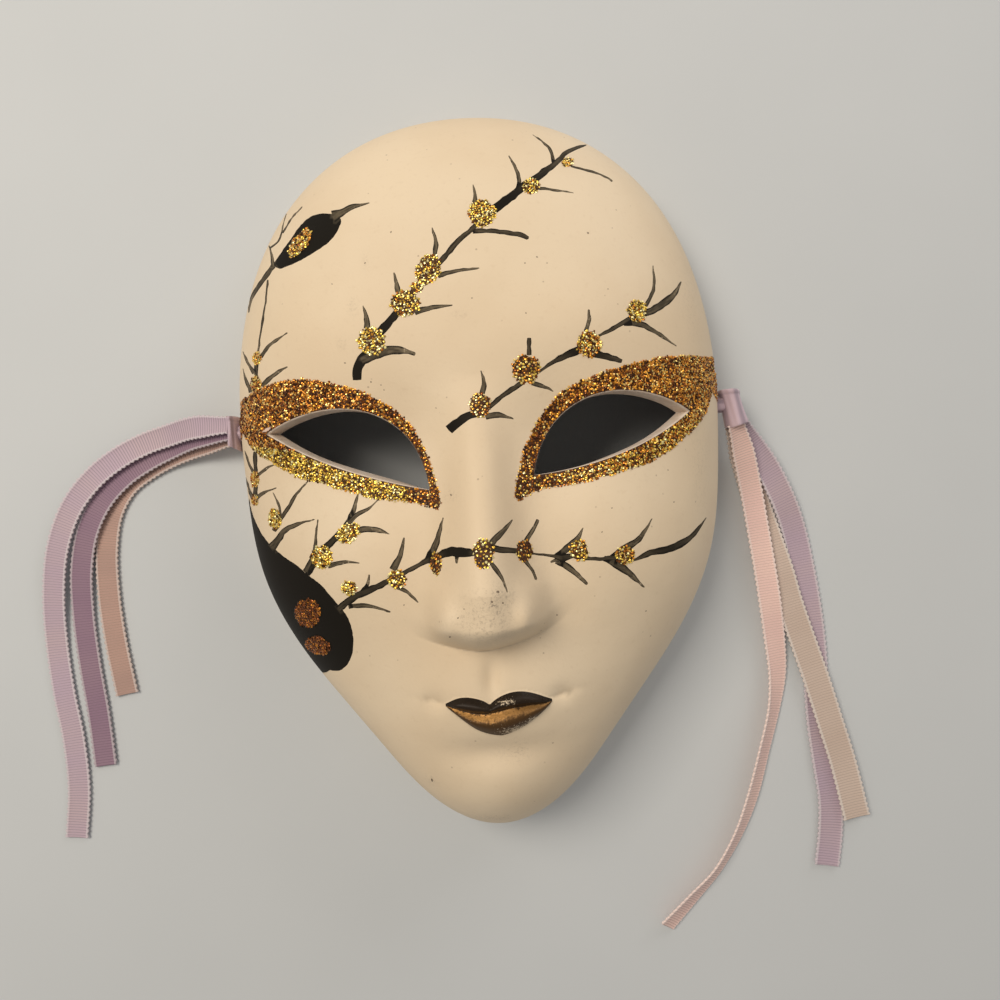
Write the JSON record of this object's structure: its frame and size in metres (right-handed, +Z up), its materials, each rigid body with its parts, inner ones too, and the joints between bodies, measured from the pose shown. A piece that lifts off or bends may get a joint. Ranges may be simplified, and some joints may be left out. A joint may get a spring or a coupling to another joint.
{
  "type": "ceramic wall mask",
  "caption": "Hollow ceramic face mask with cut-out eyes, a painted twig pattern, gilded eyelids and a bunch of narrow ribbons knotted at each temple.",
  "frame": {"origin": "on the table under the middle of the shell's box, where the flat rim rests", "axes": "+Z up out of the face, +Y to the forehead, +X to the viewer's right"},
  "size_m": [0.1958, 0.1955, 0.0533],
  "materials": {
    "ceramic": "satin cream glaze on fired earthenware, painted black, gold and bronze",
    "gold_glitter": "coarse gold glitter in glue",
    "ribbon_pink": "ribbed satin ribbon",
    "ribbon_cream": "ribbed satin ribbon with picot edges",
    "ribbon_lilac": "ribbed satin ribbon",
    "ribbon_mauve": "ribbed satin ribbon",
    "ribbon_peach": "ribbed satin ribbon"
  },
  "bodies": {
    "root": {"mask_shell": "ceramic", "ribbon_knot_right": "ribbon_lilac", "ribbon_knot_left": "ribbon_lilac", "ribbon_right_pink": "ribbon_pink", "ribbon_right_cream": "ribbon_cream", "ribbon_right_lilac": "ribbon_lilac", "ribbon_left_lilac": "ribbon_lilac", "ribbon_left_mauve": "ribbon_mauve", "ribbon_left_peach": "ribbon_peach"}
  },
  "joints": []
}
